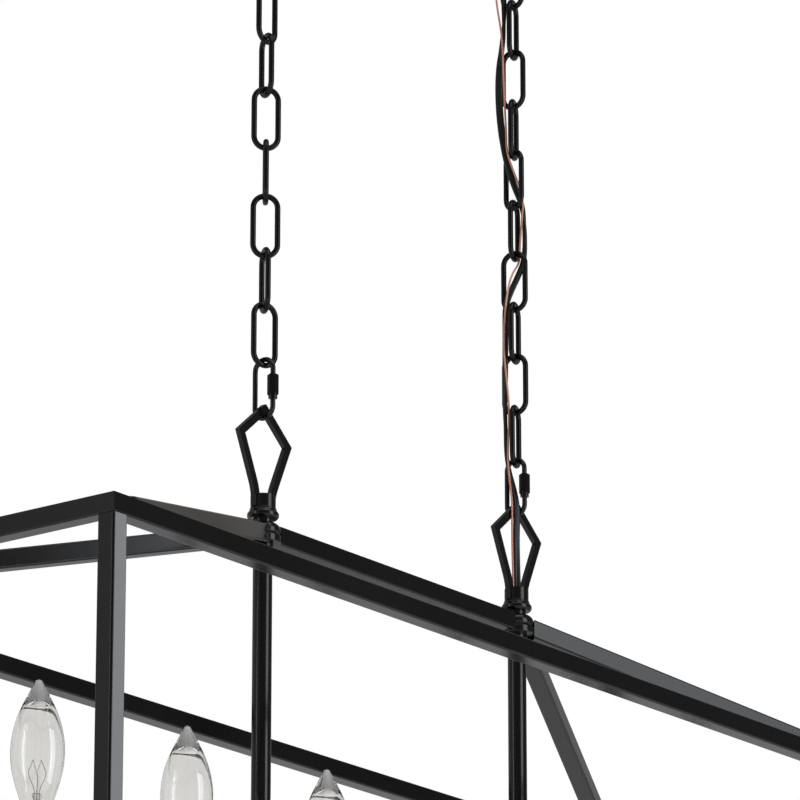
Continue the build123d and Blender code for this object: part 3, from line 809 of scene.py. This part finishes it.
UPPER_GROUND: list[Point] = [
    (3.3, -3.1, 358.0), (1.5, -5.9, 374.2), (1.9, -6.8, 384.7), (0.8, -4.6, 396.2), (-3.1, -1.5, 408.7),
    (-7.0, 1.0, 421.3), (-7.9, 0.6, 436.0), (-8.3, 1.6, 458.0), (-8.6, 2.4, 483.1), (-9.2, 2.2, 499.8),
    (-9.7, 3.5, 514.5), (-10.1, 6.0, 529.2), (-10.1, 8.0, 545.9), (-9.8, 8.4, 566.9), (-9.3, 8.2, 589.9),
    (-8.9, 7.8, 612.9), (-8.65, 7.9, 622.3),
]
CEILING_GROUND: list[Point] = [
    (-8.65, 7.9, 622.3), (-8.4, 8.0, 631.7), (-7.3, 7.7, 645.2), (-5.6, 6.2, 655.4), (-3.9, 3.9, 662.4),
    (-3.1, 3.5, 669.4),
]

# The flat cord's wide side: height above the cage's top in millimetres, angle from X towards Y in degrees
CORD_TURNS: list[Pair] = [
    (80, -53), (150, -20), (200, 25), (263, 70), (326, 90), (360, 50), (394, -20), (422, -50), (483, -53),
    (500, -110), (535, -170), (577, -220), (619, -250), (672, -270),
]


@dataclass
class HangingCord:
    """A cord that runs down the right chain, in three stretches.

    The bodies give, for each stretch, the body above and below its joint and two heights in millimetres above
    the cage's top; the build reads them and makes nothing bend there.
    """

    name: str
    routes: dict[Stretch, list[Point]]
    profile: list[Pair]
    width: float
    finish: str
    slot: str
    stiffness: str
    twist: Callable[[float], float]
    hub_x: float = 140.0
    cage_top: float = CAGE_TOP / MM
    bodies: dict[Stretch, tuple[str, str, float, float]] = field(default_factory=lambda: {
        Stretch.CEILING: ("ceiling_mount", "top_links", 661.0, 632.0),
        Stretch.UPPER: ("top_links", "right_hanger", 622.0, 593.0),
        Stretch.LOWER: ("right_hanger", "fixture", 176.0, 136.0),
    })

    def in_frame(self, point: Point) -> Point:
        """A route point as metres in the model's frame."""
        return ((self.hub_x + point[0]) * MM, point[1] * MM, (self.cage_top + point[2]) * MM)

    def line_points(self, name: str, route: list[Point]) -> list[Vector]:
        """The points of a route's smooth line, from the top down.

        Args:
            name: A name for the curve.
            route: The control points.

        Returns:
            The points that Blender's own curve gives.
        """
        curve = nurbs_line(name, [self.in_frame(p) for p in reversed(route)])
        mesh = bpy.data.meshes.new_from_object(curve)
        points = [v.co.copy() for v in mesh.vertices]
        bpy.data.meshes.remove(mesh)
        bpy.data.objects.remove(curve)
        return points

    def sweep(self, name: str, line: list[Vector]) -> bpy.types.Object:
        """A tube of the cord's own section along a line, with a UV map that counts metres along it.

        Args:
            name: The new object's name.
            line: The points it follows.

        Returns:
            The new object.
        """
        around = len(self.profile)
        verts: list[Vector] = []
        along = [0.0]
        for before, here in zip(line, line[1:]):
            along.append(along[-1] + (here - before).length)
        for index, here in enumerate(line):
            run = (line[min(index + 1, len(line) - 1)] - line[max(index - 1, 0)]).normalized()
            angle = math.radians(self.twist(here.z / MM - self.cage_top))
            side = Vector((math.cos(angle), math.sin(angle), 0.0))
            side = (side - side.dot(run) * run).normalized()
            thick = run.cross(side)
            verts += [here + side * u + thick * v for u, v in self.profile]
        faces = []
        for ring in range(len(line) - 1):
            for k in range(around):
                a, b = ring * around + k, ring * around + (k + 1) % around
                faces.append((a, b, b + around, a + around))
        faces.append(tuple(range(around - 1, -1, -1)))
        faces.append(tuple(range((len(line) - 1) * around, len(line) * around)))
        mesh = bpy.data.meshes.new(name)
        mesh.from_pydata(verts, [], faces)
        layer = mesh.uv_layers.new(name="UVMap")
        for polygon in mesh.polygons:
            columns = {v % around for v in polygon.vertices}
            closes_round = 0 in columns and around - 1 in columns
            for loop in polygon.loop_indices:
                ring, k = divmod(mesh.loops[loop].vertex_index, around)
                turn = 1.0 if closes_round and k == 0 else k / around
                layer.data[loop].uv = (turn, along[ring])
        mesh.update()
        piece = bpy.data.objects.new(name, mesh)
        bpy.context.collection.objects.link(piece)
        Workbench.pick(piece)
        bpy.ops.object.mode_set(mode="EDIT")
        bpy.ops.mesh.select_all(action="SELECT")
        bpy.ops.mesh.normals_make_consistent(inside=False)
        bpy.ops.object.mode_set(mode="OBJECT")
        bpy.ops.object.shade_smooth_by_angle(angle=CORD_CREASE)
        return piece

    def build(self, finishes: Finishes) -> None:
        """Makes and dresses every stretch.

        Args:
            finishes: The pendant's finishes.
        """
        for stretch, route in self.routes.items():
            name = f"{self.name}_{stretch.value}_stretch"
            line = self.line_points(name + "_line", route)
            piece = self.sweep(name, line)
            finishes.dress(piece, self.finish)
            upper_body, lower_body, start, end = self.bodies[stretch]
            middle_x = self.hub_x * MM
            (self.cage_top + start) * MM
            (self.cage_top + end) * MM
            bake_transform(piece)
            cad_node = "lower" if stretch is Stretch.LOWER else "upper"
            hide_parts(f"{cad_node}_{self.name}")


def flat_section(width: float, thickness: float) -> list[Pair]:
    """The section of a flat two-core cord: two round lobes with a shallow groove between them.

    Args:
        width: The whole width.
        thickness: The thickness of each lobe.

    Returns:
        The points round the section.
    """
    radius = thickness / 2
    centre = width / 2 - radius
    right = [(centre + radius * math.cos(a), radius * math.sin(a))
             for a in (math.radians(d) for d in (-110, -85, -60, -30, 0, 30, 60, 85, 110))]
    groove = 0.72 * radius
    left = [(-x, -y) for x, y in right]
    return [*right, (0.0, groove), *left, (0.0, -groove)]


def round_section(radius: float, around: int) -> list[Pair]:
    """The points round a round wire's section."""
    return [(radius * math.cos(2 * math.pi * k / around), radius * math.sin(2 * math.pi * k / around))
            for k in range(around)]


def cord_twist(height: float) -> float:
    """The direction of the flat cord's wide side, in degrees, by height above the cage's top in millimetres.

    Args:
        height: The height.

    Returns:
        The angle from X towards Y.
    """
    for (low, low_angle), (high, high_angle) in zip(CORD_TURNS, CORD_TURNS[1:]):
        if height <= high:
            share = max(0.0, (height - low) / (high - low))
            return low_angle + share * share * (3 - 2 * share) * (high_angle - low_angle)
    return CORD_TURNS[-1][1]


# ---------------------------------------------------------------------- candle bulbs
@dataclass
class CandleBulbs:
    """Six clear candle bulbs: glass with a solid tip, a glass mount, lead wires and a coiled filament.

    The profiles give radius and height above the tip in millimetres, and the turns are in degrees.
    """

    spacing: float = 0.143
    count: int = 6
    glass_drop: float = 0.001
    glass_sides: int = 64
    mount_sides: int = 32
    bead_sides: int = 10
    turns: tuple[float, ...] = (-45.0, -35.0, 60.0, 5.0, -70.0, 110.0)
    outer: list[Pair] = field(default_factory=lambda: [
        (6.5, -85), (7.89, -82), (9.09, -79), (10.2, -76), (11.59, -72), (12.89, -68), (14.03, -64),
        (15.01, -60), (15.79, -56), (16.32, -52), (16.61, -48), (16.62, -44), (16.39, -40), (15.92, -36),
        (15.19, -32), (14.23, -28), (12.98, -24), (11.47, -20), (9.69, -16), (7.96, -12.5), (6.44, -9.5),
        (5.16, -7), (4.18, -5), (3.37, -3.3), (2.76, -2.0), (2.24, -1.1), (1.67, -0.5), (0.99, -0.15),
        (0.4, -0.03), (0.0, 0.0),
    ])
    inner: list[Pair] = field(default_factory=lambda: [
        (0.0, -15.0), (3.0, -15.0), (5.5, -15.03), (7.2, -15.12), (8.0, -15.3), (8.45, -15.7),
        (9.0, -16.6), (9.85, -18.1), (10.76, -20.05), (12.28, -24), (13.55, -28), (14.53, -32),
        (15.28, -36), (15.77, -40), (16.02, -44), (16.01, -48), (15.71, -52), (15.16, -56), (14.36, -60),
        (13.36, -64), (12.2, -68), (10.9, -72), (9.5, -76), (8.38, -79), (7.18, -82), (5.8, -85),
    ])

    @staticmethod
    def scaled(profile: Iterable[Pair]) -> list[Pair]:
        """A profile in metres."""
        return [(r * MM, z * MM) for r, z in profile]

    def blown_glass(self, bench: Workbench) -> bpy.types.Object:
        """The glass, from the neck up over the tip, and inside from its top down to the neck again."""
        outside = bench.turned("glass_outside", self.scaled(self.outer), self.glass_sides)
        inside = bench.turned("glass_inside", self.scaled(self.inner), self.glass_sides)
        self.open_foot(outside)
        self.open_foot(inside)
        bench.pick(inside)
        bpy.ops.object.mode_set(mode="EDIT")
        bpy.ops.mesh.select_all(action="SELECT")
        bpy.ops.mesh.flip_normals()
        bpy.ops.object.mode_set(mode="OBJECT")
        glass = bench.joined("glass_blank", [outside, inside])
        bpy.ops.object.mode_set(mode="EDIT")
        bpy.ops.mesh.select_all(action="DESELECT")
        bpy.ops.mesh.select_non_manifold(extend=False, use_wire=False, use_multi_face=False, use_verts=False)
        bpy.ops.mesh.bridge_edge_loops()
        bpy.ops.object.mode_set(mode="OBJECT")
        bpy.ops.object.shade_smooth_by_angle(angle=TURNED_CREASE)
        return glass

    @staticmethod
    def open_foot(piece: bpy.types.Object) -> None:
        """Deletes the face that closes the foot of a turned shape."""
        tolerance = 1e-5
        Workbench.pick(piece)
        foot = min(v.co.z for v in piece.data.vertices)
        bpy.ops.object.mode_set(mode="EDIT")
        bpy.ops.mesh.select_mode(type="FACE")
        bpy.ops.mesh.select_all(action="DESELECT")
        bpy.ops.object.mode_set(mode="OBJECT")
        for polygon in piece.data.polygons:
            polygon.select = polygon.center.z < foot + tolerance
        bpy.ops.object.mode_set(mode="EDIT")
        bpy.ops.mesh.delete(type="ONLY_FACE")
        bpy.ops.mesh.select_mode(type="VERT")
        bpy.ops.object.mode_set(mode="OBJECT")

    def glass_mount(self, bench: Workbench) -> bpy.types.Object:
        """The flared glass mount, pinched flat at its top where the wires go in."""
        profile = [(0.0, -84.6), (4.9, -84.6), (4.6, -83.0), (3.2, -81.0), (2.6, -79.0), (2.4, -75.5),
                   (2.5, -73.0), (2.3, -71.6), (1.4, -71.0), (0.0, -70.9)]
        mount = bench.turned("mount_blank", self.scaled(profile), self.mount_sides)
        pinch_foot, pinch_rise, flattened, spread = -0.077, 0.003, 0.5, 0.18
        for vertex in mount.data.vertices:
            if vertex.co.z > pinch_foot:
                share = min(1.0, (vertex.co.z - pinch_foot) / pinch_rise)
                vertex.co.y *= 1 - flattened * share
                vertex.co.x *= 1 + spread * share
        mount.data.update()
        return mount

    def wires(self, bench: Workbench) -> bpy.types.Object:
        """The two lead wires and the filament's middle support."""
        runs = [
            [(-1.3, 0, -79), (-1.4, 0, -71), (-2.0, 0.1, -67), (-5.4, 0.3, -60), (-5.1, 0.2, -56.4),
             (-4.4, 0.1, -55.6)],
            [(1.3, 0, -79), (1.4, 0, -71), (2.2, -0.1, -67), (5.3, -0.3, -61), (5.2, -0.2, -56.8),
             (4.5, -0.1, -55.8)],
            [(0.0, 0.2, -76), (0.0, 0.3, -70.5), (0.3, 0.6, -66.0), (0.6, 0.9, -60.5), (0.0, 0.5, -58.9),
             (-0.5, 0.0, -59.4)],
        ]
        wire_radius = 0.00022
        pieces = [bench.wire_run(f"lead_{k}", [(x * MM, y * MM, z * MM) for x, y, z in run], wire_radius)
                  for k, run in enumerate(runs)]
        bead_profile = [(0, -70.2), (0.5, -70.0), (0.55, -69.6), (0, -69.0)]
        bead = bench.turned("bead_blank", self.scaled(bead_profile), self.bead_sides)
        return bench.joined("wires_blank", [*pieces, bead])

    def filament(self, bench: Workbench) -> bpy.types.Object:
        """The coiled filament, hung as an M between the lead wires."""
        corners = [(-4.6, 0.1, -55.9), (-2.6, 0.3, -50.2), (-0.2, 0.1, -58.9), (2.4, -0.3, -50.5),
                   (4.6, -0.1, -56.0)]
        turns, coil_radius, steps, wire_radius = 13, 0.00033, 4, 0.00009
        points: list[Point] = []
        for start, end in zip(corners, corners[1:]):
            a, b = Vector(start) * MM, Vector(end) * MM
            run = (b - a).normalized()
            side = run.cross(Vector((0, 1, 0))).normalized()
            up = run.cross(side)
            for k in range(turns * steps):
                angle = 2 * math.pi * k / steps
                points.append(tuple(a.lerp(b, k / (turns * steps))
                                    + coil_radius * (math.cos(angle) * side + math.sin(angle) * up)))
        return bench.wire_run("filament_blank", points, wire_radius, 4)

    def build(self, bench: Workbench, finishes: Finishes) -> None:
        """Models one bulb, copies it six times and dresses every piece.

        Args:
            bench: The workbench.
            finishes: The pendant's finishes.
        """
        blanks = {
            "glass": (self.blown_glass(bench), "glass", "bulb_glass"),
            "mount": (self.glass_mount(bench), "press", "bulb_glass"),
            "wires": (self.wires(bench), "lead", "bulb_brass"),
            "filament": (self.filament(bench), "filament", "bulb_brass"),
        }
        for number in range(1, self.count + 1):
            x = (number - 1 - (self.count - 1) / 2) * self.spacing
            for part, (blank, finish, slot) in blanks.items():
                piece = bench.copied(blank, f"bulb_{number}_{part}_piece", (x, 0, BULB_TIP - self.glass_drop),
                                     self.turns[number - 1])
                finishes.dress(piece, finish)
                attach(piece, f"bulb_{number}")
                if part == "glass":
                    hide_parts(f"bulb_{number}_glass")
            finishes.dress(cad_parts[f"bulb_{number}_base"], "brass")
            LOG.info("bulb %d", number)
        for blank, _, _ in blanks.values():
            bpy.data.objects.remove(blank)


# ---------------------------------------------------------------------- carried-over nodes
@dataclass
class MetalWork:
    """The CAD nodes that stay: which finish each gets."""

    finish_of: dict[str, str] = field(default_factory=lambda: {
        "candle_cups": "hardware", "candle_sleeves": "sleeve", "lamp_sockets": "socket",
        "lamp_wires": "lamp_wire", "canopy": "canopy", "canopy_cap_nuts": "hardware",
        "canopy_rings": "hardware", "mounting_bracket": "zinc", "bracket_studs": "zinc",
        "ring_lock_nuts": "zinc", "stem_finials": "hardware", "stem_seat_rings": "hardware",
        "chain_top_links": "chain", "left_chain": "chain", "right_chain": "chain", "left_hub": "hardware",
        "right_hub": "hardware", "left_hanging_loop": "hardware", "right_hanging_loop": "hardware",
        "left_quick_link": "hardware", "right_quick_link": "hardware", "left_sleeve_nut": "hardware",
        "right_sleeve_nut": "hardware",
    })
    dressed_elsewhere: tuple[str, ...] = ("glass", "base", "supply_cord", "ground_wire")

    def dress(self, finishes: Finishes) -> None:
        """Gives every node that stays its finish, and tube paint to all the square tube and stems.

        Args:
            finishes: The pendant's finishes.
        """
        for name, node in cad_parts.items():
            if name.endswith(self.dressed_elsewhere):
                continue
            finishes.dress(node, self.finish_of.get(name, "tube"))
            LOG.info("%s dressed", name)


def main() -> None:
    """Builds the studio, the cords, the bulbs and the finishes in order."""
    logging.basicConfig(level=logging.INFO, format="%(name)s: %(message)s")
    bpy.context.scene.view_settings.view_transform = "Standard"
    finishes = Finishes()
    Studio().build()
    HangingCord("supply_cord",
                {Stretch.CEILING: CEILING_CORD, Stretch.UPPER: UPPER_CORD, Stretch.LOWER: LOWER_CORD},
                flat_section(CORD_WIDTH, CORD_THICKNESS), CORD_WIDTH, "cord", "black_cord", "medium",
                cord_twist).build(finishes)
    HangingCord("ground_wire",
                {Stretch.CEILING: CEILING_GROUND, Stretch.UPPER: UPPER_GROUND, Stretch.LOWER: LOWER_GROUND},
                round_section(GROUND_WIDTH / 2, 12), GROUND_WIDTH, "ground", "ground_copper", "limp",
                lambda height: 0.0).build(finishes)
    CandleBulbs().build(Workbench(), finishes)
    MetalWork().dress(finishes)


if __name__ == "__main__":
    main()
